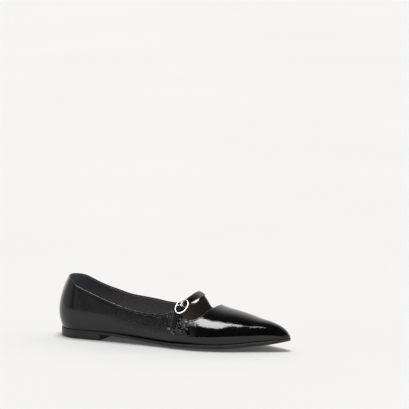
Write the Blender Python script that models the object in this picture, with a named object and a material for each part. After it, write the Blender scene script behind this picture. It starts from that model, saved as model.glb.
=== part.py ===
# Pointed toe flat for the right foot, with a thin strap over the instep and an oval buckle.
# +X points to the toe, -Y to the outer side, +Z up. The floor is at z = 0.
from math import asin, cos, exp, pi, radians, sin, sqrt

import bmesh
import bpy
from mathutils import Matrix, Vector

MM = 0.001

# Main sizes
LENGTH = 262.5 * MM
BALL_WIDTH = 79 * MM
INSTEP = 56 * MM
BACK_HEIGHT = 64 * MM
HEEL_LIFT = 6.2 * MM
TOE_SPRING = 11.0 * MM
EDGE_LIFT = 2.8 * MM
SOLE_THICK = 3.2 * MM
WALL = 1.8 * MM
GAP = 0.3 * MM
MARGIN = 8 * MM
TOE_TAPER = 40 * MM
INSOLE_THICK = 2.0 * MM
HEEL_FRONT = 58 * MM
SOLE_STEP = 0.6 * MM
SOLE_SOFTEN = 0.5 * MM
INSOLE_INSET = WALL + 1.2 * MM
INSOLE_SHORT = 12 * MM

# Strap and buckle
STRAP_WIDTH = 7.3 * MM
STRAP_THICK = 1.2 * MM
BUCKLE_LONG = 19.4 * MM
BUCKLE_WIDE = 13.4 * MM
WIRE = 1.5 * MM
BAR = 1.0 * MM
PRONG = 0.9 * MM
HOLE = 2.0 * MM
EYELET = 0.6 * MM
BUCKLE_RISE = 2.35 * MM
HUMP_REACH = 4.2 * MM
# How far the buckle is turned on the strap, in degrees
BUCKLE_TURN = 7

# The axis that the ribs of the heel turn round
AXIS_X = 0.115 * LENGTH
BALL_X = 0.67 * LENGTH
# Share of a rib at which the section is widest
WIDEST = 0.25
# Share of the sole's half width that lies flat before its edge rises
FLAT_SHARE = 0.34

# The widest outline of the last: place along the length, then outer and inner half widths as
# shares of the ball width
OUTLINE = (
    (0.115, 0.392, 0.380),
    (0.20, 0.392, 0.368),
    (0.30, 0.398, 0.345),
    (0.40, 0.418, 0.340),
    (0.50, 0.455, 0.368),
    (0.60, 0.498, 0.430),
    (0.67, 0.500, 0.468),
    (0.74, 0.450, 0.455),
    (0.82, 0.335, 0.378),
    (0.90, 0.195, 0.262),
    (0.95, 0.110, 0.178),
    (0.985, 0.040, 0.110),
    (1.00, -0.038, 0.038),
)

# Height of the sole's underside: place along the length, share of the heel lift, share of the
# toe spring, and share of the edge lift by which its edge stands over its middle
UNDERSIDE = (
    (0.00, 1.00, 0.00, 0.00),
    (0.225, 1.00, 0.00, 0.00),
    (0.31, 0.84, 0.00, 0.05),
    (0.385, 0.60, 0.00, 0.18),
    (0.44, 0.38, 0.00, 0.32),
    (0.50, 0.14, 0.00, 0.58),
    (0.55, 0.00, 0.00, 0.75),
    (0.72, 0.00, 0.00, 1.00),
    (0.80, 0.00, 0.17, 0.75),
    (0.886, 0.00, 0.455, 0.36),
    (0.939, 0.00, 0.65, 0.20),
    (1.00, 0.00, 1.00, 0.00),
)

# Thickness of the sole's edge: place along the length, share of the sole thickness
SOLE_EDGE = (
    (0.00, 1.00),
    (0.50, 1.08),
    (0.62, 1.30),
    (0.80, 1.44),
    (0.886, 1.56),
    (0.939, 1.47),
    (1.00, 0.86),
)

# The last's section: place along the length, ridge height as a share of the instep, sideways
# place of the ridge as a share of the ball width, height of the widest point as a share of the
# section's height, tuck under it as a share of the half width, and fullness of the shoulder
SECTION = (
    (0.115, 1.400, 0.000, 0.255, 0.114, 1.60),
    (0.20, 1.390, 0.010, 0.235, 0.105, 1.65),
    (0.30, 1.350, 0.035, 0.170, 0.095, 1.75),
    (0.40, 1.270, 0.065, 0.120, 0.085, 1.80),
    (0.50, 1.120, 0.085, 0.105, 0.080, 1.80),
    (0.59, 0.958, 0.085, 0.135, 0.070, 1.80),
    (0.65, 0.822, 0.060, 0.165, 0.060, 1.76),
    (0.70, 0.747, 0.035, 0.200, 0.055, 1.72),
    (0.76, 0.690, 0.020, 0.235, 0.055, 1.74),
    (0.815, 0.632, 0.025, 0.250, 0.055, 1.78),
    (0.867, 0.568, 0.030, 0.265, 0.060, 1.84),
    (0.918, 0.519, 0.032, 0.270, 0.065, 1.90),
    (0.958, 0.455, 0.032, 0.265, 0.070, 1.90),
    (0.985, 0.374, 0.032, 0.260, 0.070, 1.90),
    (1.00, 0.2705, 0.000, 0.270, 0.070, 1.90),
)

# Height of the strap's root in the upper, as a share of the back height
ROOT_TOP = 0.74

# Height of the topline and throat edge on each side, with the outer tab and the inner strap
# root: place along the length, share of the back height
TOP_OUTER = (
    (0.000, 1.000),
    (0.050, 0.960),
    (0.100, 0.888),
    (0.150, 0.817),
    (0.267, 0.663),
    (0.356, 0.572),
    (0.445, 0.528),
    (0.489, 0.527),
    (0.523, 0.553),
    (0.540, 0.586),
    (0.551, 0.625),
    (0.557, 0.668),
    (0.564, 0.688),
    (0.576, 0.688),
    (0.583, 0.640),
    (0.588, 0.590),
    (0.594, 0.546),
    (0.602, 0.521),
    (0.6155, 0.491),
    (0.631, 0.480),
    (0.652, 0.503),
    (0.668, 0.550),
    (0.682, 0.628),
    (0.695, 0.662),
)
TOP_INNER = (
    (0.000, 1.000),
    (0.050, 0.955),
    (0.100, 0.875),
    (0.150, 0.795),
    (0.210, 0.725),
    (0.269, 0.670),
    (0.333, 0.645),
    (0.386, 0.623),
    (0.432, 0.595),
    (0.458, 0.586),
    (0.515, 0.586),
    (0.545, 0.597),
    (0.562, 0.640),
    (0.573, 0.698),
    (0.583, ROOT_TOP),
    (0.603, ROOT_TOP),
    (0.606, 0.672),
    (0.6095, 0.606),
    (0.616, 0.548),
    (0.628, 0.522),
    (0.644, 0.528),
    (0.664, 0.566),
    (0.681, 0.628),
    (0.695, 0.662),
)

# Bands of ribs from the toe back: place where a band starts, place where it ends, and how much
# its ribs crowd to its start
RIB_BANDS = (
    (1.000, 0.905, 2.0),
    (0.905, 0.695, 1.0),
    (0.695, 0.640, 1.7),
    (0.640, 0.520, 1.0),
    (0.520, 0.115, 1.0),
)
# How many ribs each band has, then those of the heel, and the rows of each sheet
BAND_RIBS = (8, 9, 9, 18, 14)
HEEL_RIBS = 9
RIB_ROWS = 10
SOLE_ROWS = 44
HEEL_ROWS = 14

# Path of the strap: side (1 is the inner one), share of a rib, place along the length, width as
# a share of the strap width
STRAP_PATH = (
    (1, 0.700, 0.594, 0.83),
    (1, 0.800, 0.598, 0.94),
    (1, 0.900, 0.603, 1.05),
    (-1, 1.000, 0.607, 1.08),
    (-1, 0.900, 0.606, 1.08),
    (-1, 0.800, 0.600, 1.02),
    (-1, 0.700, 0.589, 0.95),
    (-1, 0.600, 0.579, 0.92),
    (-1, 0.500, 0.571, 0.90),
    (-1, 0.430, 0.567, 0.86),
    (-1, 0.370, 0.563, 0.66),
)
# Shares of the strap's path: the buckle's middle, and the end of the stretch that leaves the wall
BUCKLE_AT = 0.668
ROOT_SHARE = 0.25


def smooth(at, xs, ys):
    """The value at this place of a row of values, joined by monotone cubic pieces."""
    if at <= xs[0]:
        return ys[0]
    if at >= xs[-1]:
        return ys[-1]
    slopes = [(ys[i + 1] - ys[i]) / (xs[i + 1] - xs[i]) for i in range(len(xs) - 1)]
    ends = [slopes[0]]
    for before, after in zip(slopes, slopes[1:]):
        ends.append(0.0 if before * after <= 0 else 2 * before * after / (before + after))
    ends.append(slopes[-1])
    i = max(k for k in range(len(xs) - 1) if xs[k] <= at)
    wide = xs[i + 1] - xs[i]
    t = (at - xs[i]) / wide
    value = ys[i] * (1 + 2 * t) * (1 - t) ** 2 + ys[i + 1] * t * t * (3 - 2 * t)
    return value + wide * (ends[i] * t * (1 - t) ** 2 - ends[i + 1] * t * t * (1 - t))


def column(table, index):
    return [row[index] for row in table]


def read_table(table, index, x):
    return smooth(x / LENGTH, column(table, 0), column(table, index))


# The toe ends round because the squares of the half width and of the height are joined
HALF_SQUARES = [((outer + inner) / 2) ** 2 for _, outer, inner in OUTLINE]
CENTRES = [(inner - outer) / 2 for _, outer, inner in OUTLINE]


def half_width(x):
    return BALL_WIDTH * sqrt(smooth(x / LENGTH, column(OUTLINE, 0), HALF_SQUARES))


def centre(x):
    return BALL_WIDTH * smooth(x / LENGTH, column(OUTLINE, 0), CENTRES)


def underside(x):
    """Height of the middle of the sole's underside."""
    return HEEL_LIFT * read_table(UNDERSIDE, 1, x) + TOE_SPRING * read_table(UNDERSIDE, 2, x)


def edge_lift(x):
    return EDGE_LIFT * read_table(UNDERSIDE, 3, x)


def feather(x):
    """Height of the line where the upper meets the sole."""
    return underside(x) + edge_lift(x) + SOLE_THICK * read_table(SOLE_EDGE, 1, x)


SECTION_SQUARES = [
    (place, max(0.0, INSTEP * ridge - feather(place * LENGTH)) ** 2) for place, ridge, *_ in SECTION
]


def section_height(x):
    return sqrt(max(0.0, read_table(SECTION_SQUARES, 1, x)))


def last_point(rib, up):
    """Point on the last: rib is (x, side, turn), and up goes from 0 at the sole to 1 on the ridge."""
    x, side, turn = rib
    widest = read_table(SECTION, 3, x)
    if up < WIDEST:
        rise = widest * up / WIDEST
        share = 1 - read_table(SECTION, 4, x) * (1 - up / WIDEST) ** 2
    else:
        angle = (up - WIDEST) / (1 - WIDEST) * pi / 2
        rise = widest + (1 - widest) * sin(angle) ** (2 / read_table(SECTION, 5, x))
        share = cos(angle)
    ridge = BALL_WIDTH * read_table(SECTION, 2, x) if section_height(x) > 0 else centre(x)
    reach = centre(x) + side * half_width(x) - ridge
    return Vector(
        (
            x - AXIS_X * share * cos(turn),
            ridge + reach * share * sin(turn),
            feather(x) + section_height(x) * rise,
        )
    )


def share_at_height(rib, height):
    """Share of the rib at which it reaches this height."""
    x, _, _ = rib
    widest = read_table(SECTION, 3, x)
    tall = section_height(x)
    rise = (height - feather(x)) / tall if tall > 0 else 1.0
    if rise >= 1:
        return 1.0
    if rise < widest:
        return WIDEST * rise / widest
    angle = asin(((rise - widest) / (1 - widest)) ** (read_table(SECTION, 5, x) / 2))
    return WIDEST + (1 - WIDEST) * angle * 2 / pi


def rib_top(rib):
    """Share of the rib at which the leather ends."""
    x, side, turn = rib
    place = (x - AXIS_X * cos(turn)) / LENGTH
    if place >= RIB_BANDS[1][1]:
        return 1.0
    table = TOP_OUTER if side < 0 else TOP_INNER
    return share_at_height(rib, BACK_HEIGHT * smooth(place, column(table, 0), column(table, 1)))


def rib_row():
    """The ribs from the toe, back along the outer side, round the heel and forward again."""
    places = []
    for (start, end, crowd), count in zip(RIB_BANDS, BAND_RIBS):
        places += [start + (end - start) * (k / count) ** crowd for k in range(count)]
    outer = [(place * LENGTH, -1, pi / 2) for place in places]
    heel = [(AXIS_X, -1, pi / 2 * (1 - k / HEEL_RIBS)) for k in range(HEEL_RIBS)]
    heel += [(AXIS_X, 1, pi / 2 * k / HEEL_RIBS) for k in range(HEEL_RIBS)]
    inner = [(place * LENGTH, 1, pi / 2) for place in places]
    return outer + heel + [(AXIS_X, 1, pi / 2)] + inner[::-1]


def grid_of(rows, columns, place_of):
    """A grid of points placed by place_of(row, column), with coinciding points made one."""
    bm = bmesh.new()
    bmesh.ops.create_grid(bm, x_segments=columns - 1, y_segments=rows - 1, size=1)
    bm.verts.ensure_lookup_table()
    for vert in list(bm.verts):
        row = round((vert.co.y + 1) / 2 * (rows - 1))
        col = round((vert.co.x + 1) / 2 * (columns - 1))
        vert.co = place_of(row, col)
    bmesh.ops.remove_doubles(bm, verts=bm.verts[:], dist=0.01 * MM)
    bmesh.ops.dissolve_degenerate(bm, edges=bm.edges[:], dist=0.005 * MM)
    return bm


def face_out(bm):
    bmesh.ops.recalc_face_normals(bm, faces=bm.faces[:])
    if bm.calc_volume(signed=True) < 0:
        bmesh.ops.reverse_faces(bm, faces=bm.faces[:])


def leave_object(bm, name, material):
    mesh = bpy.data.meshes.new(name)
    bm.to_mesh(mesh)
    bm.free()
    mesh.shade_smooth()
    mesh.set_sharp_from_angle(angle=0.7)
    mesh.materials.append(material)
    obj = bpy.data.objects.new(name, mesh)
    bpy.context.collection.objects.link(obj)
    return obj


def material_of(name, colour, roughness, metallic):
    material = bpy.data.materials.new(name)
    material.use_nodes = True
    shader = material.node_tree.nodes["Principled BSDF"]
    shader.inputs["Base Color"].default_value = (*colour, 1)
    shader.inputs["Roughness"].default_value = roughness
    shader.inputs["Metallic"].default_value = metallic
    return material


def loop_edges(bm, near):
    """The open edges whose ends all pass this test."""
    return [edge for edge in bm.edges if edge.is_boundary and all(near(v) for v in edge.verts)]


# Upper: the outer skin over the last, then the inner skin a wall's thickness inside it
def make_upper():
    ribs = rib_row()
    tops = [rib_top(rib) for rib in ribs]

    def skin_point(row, col):
        return last_point(ribs[col], tops[col] * row / RIB_ROWS)

    bm = grid_of(RIB_ROWS + 1, len(ribs), skin_point)
    bmesh.ops.recalc_face_normals(bm, faces=bm.faces[:])
    middle = Vector((0.5 * LENGTH, 0, 0.3 * INSTEP))
    if sum((face.calc_center_median() - middle).dot(face.normal) for face in bm.faces) < 0:
        bmesh.ops.reverse_faces(bm, faces=bm.faces[:])
    bm.normal_update()

    def at_sole(vert):
        return abs(vert.co.z - feather(max(vert.co.x, AXIS_X))) < 0.05 * MM

    outer_low = loop_edges(bm, at_sole)
    outer_top = [edge for edge in bm.edges if edge.is_boundary and edge not in outer_low]
    outer_verts = bm.verts[:]
    normals = {vert: vert.normal.copy() for vert in outer_verts}
    copied = bmesh.ops.duplicate(bm, geom=bm.verts[:] + bm.edges[:] + bm.faces[:])
    twin = {vert: copied["vert_map"][vert] for vert in outer_verts}
    low_verts = {vert for edge in outer_low for vert in edge.verts}
    for vert in outer_verts:
        inward = normals[vert]
        if vert in low_verts:
            inward = Vector((inward.x, inward.y, 0)).normalized() - Vector((0, 0, 1))
        twin[vert].co = vert.co - WALL * inward
        if vert in low_verts:
            twin[vert].co.z -= dish(twin[vert].co)
    inner_faces = [item for item in copied["geom"] if isinstance(item, bmesh.types.BMFace)]
    bmesh.ops.reverse_faces(bm, faces=inner_faces)
    inner_low = [copied["edge_map"][edge] for edge in outer_low]
    inner_top = [copied["edge_map"][edge] for edge in outer_top]
    bmesh.ops.bridge_loops(bm, edges=outer_top + inner_top)

    # The lasting margin turned in over the sole
    outer_place = {tuple(vert.co): vert.co.copy() for vert in low_verts}
    outer_place.update({tuple(twin[vert].co): vert.co.copy() for vert in low_verts})
    rims = []
    for edges, lift in ((outer_low, 0.0), (inner_low, WALL)):
        grown = bmesh.ops.extrude_edge_only(bm, edges=edges)
        for item in grown["geom"]:
            if isinstance(item, bmesh.types.BMVert):
                item.co = margin_place(outer_place[tuple(item.co)], lift)
        rims += [item for item in grown["geom"] if isinstance(item, bmesh.types.BMEdge)]
    bmesh.ops.bridge_loops(bm, edges=[edge for edge in rims if edge.is_boundary])
    bmesh.ops.remove_doubles(bm, verts=bm.verts[:], dist=0.002 * MM)
    face_out(bm)
    return leave_object(bm, "upper", LEATHER)


def margin_place(point, lift):
    """The place a margin's width in from this point of the sole's line."""
    side = -1 if point.y < centre(max(point.x, AXIS_X)) else 1
    width = MARGIN * min(1.0, sqrt(max(0.0, LENGTH - point.x) / TOE_TAPER))
    place = sole_edge_place(point.x, side, -width)
    place.z = feather(place.x) - dish(place) + lift
    return place


# Soles: flat sheets in the outline of the sole, given their thickness downward
HEEL_END = AXIS_X * SECTION[0][4]


def sole_line(x, side):
    """Plan place on the line where the upper meets the sole."""
    middle = centre(max(x, AXIS_X))
    if x >= AXIS_X:
        half = half_width(x) * (1 - read_table(SECTION, 4, x))
    else:
        back = (AXIS_X - x) / (AXIS_X - HEEL_END)
        half = half_width(AXIS_X) * (1 - SECTION[0][4]) * sqrt(max(0.0, 1 - back * back))
    return Vector((x, middle + side * half, 0))


def dish(point):
    """How far the bed of the sole lies below its edge at this plan place."""
    x = min(LENGTH, max(HEEL_END, point.x))
    outer, inner = sole_line(x, -1).y, sole_line(x, 1).y
    reach = abs(2 * point.y - outer - inner) / max(inner - outer, GAP)
    rise = max(0.0, reach - FLAT_SHARE) / (1 - FLAT_SHARE)
    return edge_lift(x) * (1 - min(1.0, rise) ** 2)


def sole_edge_place(x, side, grow):
    """The sole's line moved out by this much, square to itself."""
    step = 0.02 * MM
    before = sole_line(max(HEEL_END, x - step), side)
    after = sole_line(min(LENGTH, x + step), side)
    along = (after - before).normalized()
    if x <= HEEL_END:
        return Vector((x - grow, sole_line(x, side).y, 0))
    if x >= LENGTH:
        return Vector((x + grow, sole_line(x, side).y, 0))
    return sole_line(x, side) + grow * side * Vector((-along.y, along.x, 0))


def make_sheet(name, material, reach, grow, pull, top_of, bottom_of, rows, soften):
    """A sheet in the sole's outline from the back of the heel to reach, its tip pulled back."""
    across = 6
    places = []
    for k in range(rows + 1):
        share = 1 - cos(pi / 2 * k / rows)
        if reach >= LENGTH:
            share = (1 - cos(pi * k / rows)) / 2
        places.append(HEEL_END + (reach - HEEL_END) * share)

    def sheet_point(row, col):
        outer = sole_edge_place(places[row], -1, grow)
        inner = sole_edge_place(places[row], 1, grow)
        point = outer.lerp(inner, col / across)
        point.x -= pull * max(0.0, (point.x - BALL_X) / (LENGTH - BALL_X)) ** 2
        point.z = top_of(point)
        return point

    bm = grid_of(rows + 1, across + 1, sheet_point)
    bmesh.ops.recalc_face_normals(bm, faces=bm.faces[:])
    bm.normal_update()
    if sum(face.normal.z for face in bm.faces) < 0:
        bmesh.ops.reverse_faces(bm, faces=bm.faces[:])
    grown = bmesh.ops.extrude_face_region(bm, geom=bm.faces[:])
    for item in grown["geom"]:
        if isinstance(item, bmesh.types.BMVert):
            item.co.z = bottom_of(item.co)
    face_out(bm)
    bm.normal_update()
    if soften > 0:
        rim = []
        for edge in bm.edges:
            normals = sorted(face.normal.z for face in edge.link_faces)
            if normals[0] < -0.7 and normals[1] > -0.3:
                rim.append(edge)
        bmesh.ops.bevel(
            bm, geom=rim, offset=soften, affect="EDGES", segments=1, profile=0.5, material=-1
        )
        face_out(bm)
    return leave_object(bm, name, material)


def make_soles():
    def sole_top(point):
        return feather(point.x) - dish(point) - GAP

    def sole_bottom(point):
        return underside(point.x) + edge_lift(point.x) - dish(point)

    def heel_top(point):
        return HEEL_LIFT - GAP

    def floor(point):
        return 0.0

    def board_bottom(point):
        return feather(point.x) - dish(point) + WALL + GAP

    def board_top(point):
        return board_bottom(point) + INSOLE_THICK

    rows, soft = SOLE_ROWS, SOLE_SOFTEN
    make_sheet("outsole", RUBBER, LENGTH, SOLE_STEP, 0.0, sole_top, sole_bottom, rows, soft)
    make_sheet("heel", RUBBER, HEEL_FRONT, SOLE_STEP, 0.0, heel_top, floor, HEEL_ROWS, soft)
    inset = -INSOLE_INSET
    make_sheet("insole", LINING, LENGTH, inset, INSOLE_SHORT, board_top, board_bottom, rows, 0.0)


# Strap: a band that follows the last from its inner root to its loose tail
def strap_row(share):
    """Place over the ridge, place along the length and width at this share of the path."""
    steps = [k / (len(STRAP_PATH) - 1) for k in range(len(STRAP_PATH))]
    over = [up if side > 0 else 2 - up for side, up, _, _ in STRAP_PATH]
    place = smooth(share, steps, column(STRAP_PATH, 2))
    width = smooth(share, steps, column(STRAP_PATH, 3))
    return smooth(share, steps, over), place * LENGTH, width * STRAP_WIDTH


def root_share(x):
    """Share of the inner rib at which the strap's root ends in the upper."""
    return share_at_height((x, 1, pi / 2), BACK_HEIGHT * ROOT_TOP + GAP)


def strap_point(share, across):
    """Point on the last under the strap, across from -1 at its back edge to 1 at its front edge."""
    over, x, width = strap_row(share)
    edge = x + across * width / 2
    level = max(0.0, 1 - share / ROOT_SHARE)
    over += level * (root_share(edge) - STRAP_PATH[0][1])
    side, up = (1, over) if over <= 1 else (-1, 2 - over)
    return last_point((edge, side, pi / 2), up)


def strap_frame(share):
    """Point on the last, direction along the strap and outward direction."""
    step = 0.01
    along = strap_point(min(1.0, share + step), 0) - strap_point(max(0.0, share - step), 0)
    along.normalize()
    out = (strap_point(share, 1) - strap_point(share, -1)).cross(along).normalized()
    return strap_point(share, 0), along, out if out.z > 0 else -out


def strap_rise(share):
    """Height of the strap's middle over the last: in line with the wall at the root, over the
    bar inside the buckle, close on the leather at the tail."""
    close = GAP + STRAP_THICK / 2
    part = min(1.0, share / ROOT_SHARE)
    eased = part * part * (3 - 2 * part)
    reach = (strap_point(share, 0) - strap_point(BUCKLE_AT, 0)).length
    hump = BUCKLE_RISE + BAR / 2
    return close * eased - WALL / 2 * (1 - eased) + hump * exp(-((reach / HUMP_REACH) ** 2))


def make_strap():
    rows, across = 48, 4

    def band_point(row, col):
        share = row / rows
        _, _, out = strap_frame(share)
        return strap_point(share, 2 * col / across - 1) + out * strap_rise(share)

    bm = grid_of(rows + 1, across + 1, band_point)
    bmesh.ops.recalc_face_normals(bm, faces=bm.faces[:])
    strap = leave_object(bm, "strap", LEATHER)
    thick = strap.modifiers.new("thick", "SOLIDIFY")
    thick.thickness = STRAP_THICK
    thick.offset = 0
    thick.use_even_offset = True

    here, along, out = strap_frame(BUCKLE_AT)
    bm = bmesh.new()
    bmesh.ops.create_cone(
        bm, cap_ends=True, segments=16, radius1=HOLE / 2, radius2=HOLE / 2, depth=6 * STRAP_THICK
    )
    turn = out.to_track_quat("Z", "Y").to_matrix().to_4x4()
    middle = here + out * strap_rise(BUCKLE_AT)
    bmesh.ops.transform(bm, matrix=Matrix.Translation(middle) @ turn, verts=bm.verts[:])
    cutter = leave_object(bm, "hole_cutter", LEATHER)
    cutter.hide_render = True
    cutter.display_type = "WIRE"
    hole = strap.modifiers.new("hole", "BOOLEAN")
    hole.operation = "DIFFERENCE"
    hole.solver = "EXACT"
    hole.object = cutter


def make_wire(name, points, diameter, closed):
    """A round wire through these points."""
    curve = bpy.data.curves.new(name, "CURVE")
    curve.dimensions = "3D"
    curve.bevel_depth = diameter / 2
    curve.bevel_resolution = 2
    curve.use_fill_caps = not closed
    spline = curve.splines.new("POLY")
    spline.points.add(len(points) - 1)
    for point, place in zip(spline.points, points):
        point.co = (*place, 1)
    spline.use_cyclic_u = closed
    spline.use_smooth = True
    curve.materials.append(METAL)
    bpy.context.collection.objects.link(bpy.data.objects.new(name, curve))


def make_buckle():
    here, along, out = strap_frame(BUCKLE_AT)
    along = Matrix.Rotation(radians(BUCKLE_TURN), 3, out) @ along
    across = out.cross(along)

    def place(forward, sideways, rise):
        return here + along * forward + across * sideways + out * rise

    long_half = (BUCKLE_LONG - WIRE) / 2
    wide_half = (BUCKLE_WIDE - WIRE) / 2
    turns = [2 * pi * k / 40 for k in range(40)]
    oval = [place(long_half * cos(t), wide_half * sin(t), BUCKLE_RISE) for t in turns]
    make_wire("buckle_frame", oval, WIRE, True)

    bar_half = wide_half - WIRE / 2 - GAP
    bar = [place(0, bar_half * k, BUCKLE_RISE) for k in (-1, 0, 1)]
    make_wire("buckle_bar", bar, BAR, False)

    bar_top = BUCKLE_RISE + BAR / 2
    strap_top = strap_rise(BUCKLE_AT) + STRAP_THICK / 2
    over = strap_top + PRONG
    frame_top = BUCKLE_RISE + WIRE / 2 + PRONG / 2 + GAP / 2
    path = (
        (0.00, bar_top + GAP),
        (0.00, over - 0.5 * PRONG),
        (0.03, over),
        (0.10, over + 0.4 * PRONG),
        (0.22, over + 0.4 * PRONG),
        (0.55, (over + frame_top) / 2 + 0.4 * PRONG),
        (1.00, frame_top),
        (1.07, frame_top - 0.2 * PRONG),
    )
    make_wire("buckle_prong", [place(-long_half * a, 0, rise) for a, rise in path], PRONG, False)

    ring = (HOLE + EYELET) / 2
    eyelet = [
        place(ring * cos(t), ring * sin(t), strap_top + GAP / 2 + EYELET / 2) for t in turns[::2]
    ]
    make_wire("eyelet", eyelet, EYELET, True)


for old in list(bpy.data.objects):
    bpy.data.objects.remove(old)

LEATHER = material_of("patent_leather", (0.012, 0.012, 0.013), 0.12, 0.0)
RUBBER = material_of("sole_rubber", (0.015, 0.015, 0.016), 0.5, 0.0)
LINING = material_of("lining_leather", (0.035, 0.028, 0.024), 0.6, 0.0)
METAL = material_of("buckle_metal", (0.75, 0.75, 0.74), 0.2, 1.0)

make_upper()
make_soles()
make_strap()
make_buckle()

# The origin lies under the middle of the heel
for piece in bpy.data.objects:
    piece.data.transform(Matrix.Translation((-AXIS_X, 0, 0)))
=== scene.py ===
# %% [markdown]
# A pointed toe flat for the right foot, in black patent leather, with a thin strap over the
# instep and a small oval buckle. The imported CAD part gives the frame: +X points to the toe, -Y to
# the outer side, +Z up, and the floor is at z = 0. Each piece below stands for one piece that a
# shoemaker would cut or cast, and takes its sizes from the same short tables as the CAD part.

# %% Load the frame
from math import asin, cos, exp, pi, radians, sin, sqrt

import bmesh
import bpy
from mathutils import Matrix, Vector


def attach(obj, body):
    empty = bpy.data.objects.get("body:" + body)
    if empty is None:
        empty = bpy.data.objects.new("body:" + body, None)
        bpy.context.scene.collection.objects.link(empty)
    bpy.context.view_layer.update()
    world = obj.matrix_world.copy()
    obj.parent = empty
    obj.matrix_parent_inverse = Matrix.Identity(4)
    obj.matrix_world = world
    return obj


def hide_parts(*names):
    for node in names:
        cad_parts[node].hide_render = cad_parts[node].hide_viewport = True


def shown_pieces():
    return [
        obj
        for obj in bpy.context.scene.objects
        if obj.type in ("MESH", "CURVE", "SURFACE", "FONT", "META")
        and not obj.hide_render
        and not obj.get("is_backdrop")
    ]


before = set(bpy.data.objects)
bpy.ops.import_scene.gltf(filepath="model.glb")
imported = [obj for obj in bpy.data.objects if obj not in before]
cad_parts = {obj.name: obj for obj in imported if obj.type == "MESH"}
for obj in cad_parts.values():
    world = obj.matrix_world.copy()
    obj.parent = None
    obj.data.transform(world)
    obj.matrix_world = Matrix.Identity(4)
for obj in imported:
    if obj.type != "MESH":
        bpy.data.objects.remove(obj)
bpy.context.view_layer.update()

print("nodes:", ", ".join(sorted(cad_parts)))

# %% [markdown]
# The sizes of a shoe hang together: the last has a length, a width at the ball, a height over the
# instep and a height at the back, and everything else is a share of those. Written as shares, the
# tables below stay short, and a smooth curve through each column gives the shape in between.

# %% Main sizes
MM = 0.001
LENGTH = 262.5 * MM
BALL_WIDTH = 79 * MM
INSTEP = 56 * MM
BACK_HEIGHT = 64 * MM
HEEL_LIFT = 6.2 * MM
TOE_SPRING = 11.0 * MM
EDGE_LIFT = 2.8 * MM
SOLE_THICK = 3.2 * MM
WALL = 1.8 * MM
GAP = 0.3 * MM
HEEL_FRONT = 58 * MM
SOLE_STEP = 0.6 * MM
AXIS_X = 0.115 * LENGTH
BALL_X = 0.67 * LENGTH
# Share of a rib at its widest point, and share of the sole's width that lies flat
WIDEST = 0.25
FLAT_SHARE = 0.34

# %% Tables of the last
# Place along the length, outer and inner half widths as shares of the ball width
OUTLINE = (
    (0.115, 0.392, 0.380),
    (0.20, 0.392, 0.368),
    (0.30, 0.398, 0.345),
    (0.40, 0.418, 0.340),
    (0.50, 0.455, 0.368),
    (0.60, 0.498, 0.430),
    (0.67, 0.500, 0.468),
    (0.74, 0.450, 0.455),
    (0.82, 0.335, 0.378),
    (0.90, 0.195, 0.262),
    (0.95, 0.110, 0.178),
    (0.985, 0.040, 0.110),
    (1.00, -0.038, 0.038),
)
# Place, share of the heel lift, share of the toe spring, share of the edge lift
UNDERSIDE = (
    (0.00, 1.00, 0.00, 0.00),
    (0.225, 1.00, 0.00, 0.00),
    (0.31, 0.84, 0.00, 0.05),
    (0.385, 0.60, 0.00, 0.18),
    (0.44, 0.38, 0.00, 0.32),
    (0.50, 0.14, 0.00, 0.58),
    (0.55, 0.00, 0.00, 0.75),
    (0.72, 0.00, 0.00, 1.00),
    (0.80, 0.00, 0.17, 0.75),
    (0.886, 0.00, 0.455, 0.36),
    (0.939, 0.00, 0.65, 0.20),
    (1.00, 0.00, 1.00, 0.00),
)
# Place, thickness of the sole's edge as a share of the sole thickness
SOLE_EDGE = (
    (0.00, 1.00),
    (0.50, 1.08),
    (0.62, 1.30),
    (0.80, 1.44),
    (0.886, 1.56),
    (0.939, 1.47),
    (1.00, 0.86),
)
# Place, ridge height, ridge side place, height of the widest point, tuck, shoulder
SECTION = (
    (0.115, 1.400, 0.000, 0.255, 0.114, 1.60),
    (0.20, 1.390, 0.010, 0.235, 0.105, 1.65),
    (0.30, 1.350, 0.035, 0.170, 0.095, 1.75),
    (0.40, 1.270, 0.065, 0.120, 0.085, 1.80),
    (0.50, 1.120, 0.085, 0.105, 0.080, 1.80),
    (0.59, 0.958, 0.085, 0.135, 0.070, 1.80),
    (0.65, 0.822, 0.060, 0.165, 0.060, 1.76),
    (0.70, 0.747, 0.035, 0.200, 0.055, 1.72),
    (0.76, 0.690, 0.020, 0.235, 0.055, 1.74),
    (0.815, 0.632, 0.025, 0.250, 0.055, 1.78),
    (0.867, 0.568, 0.030, 0.265, 0.060, 1.84),
    (0.918, 0.519, 0.032, 0.270, 0.065, 1.90),
    (0.958, 0.455, 0.032, 0.265, 0.070, 1.90),
    (0.985, 0.374, 0.032, 0.260, 0.070, 1.90),
    (1.00, 0.2705, 0.000, 0.270, 0.070, 1.90),
)
# Height of the inner topline where the strap rises out of it, as a share of the back height
ROOT_TOP = 0.74
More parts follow.
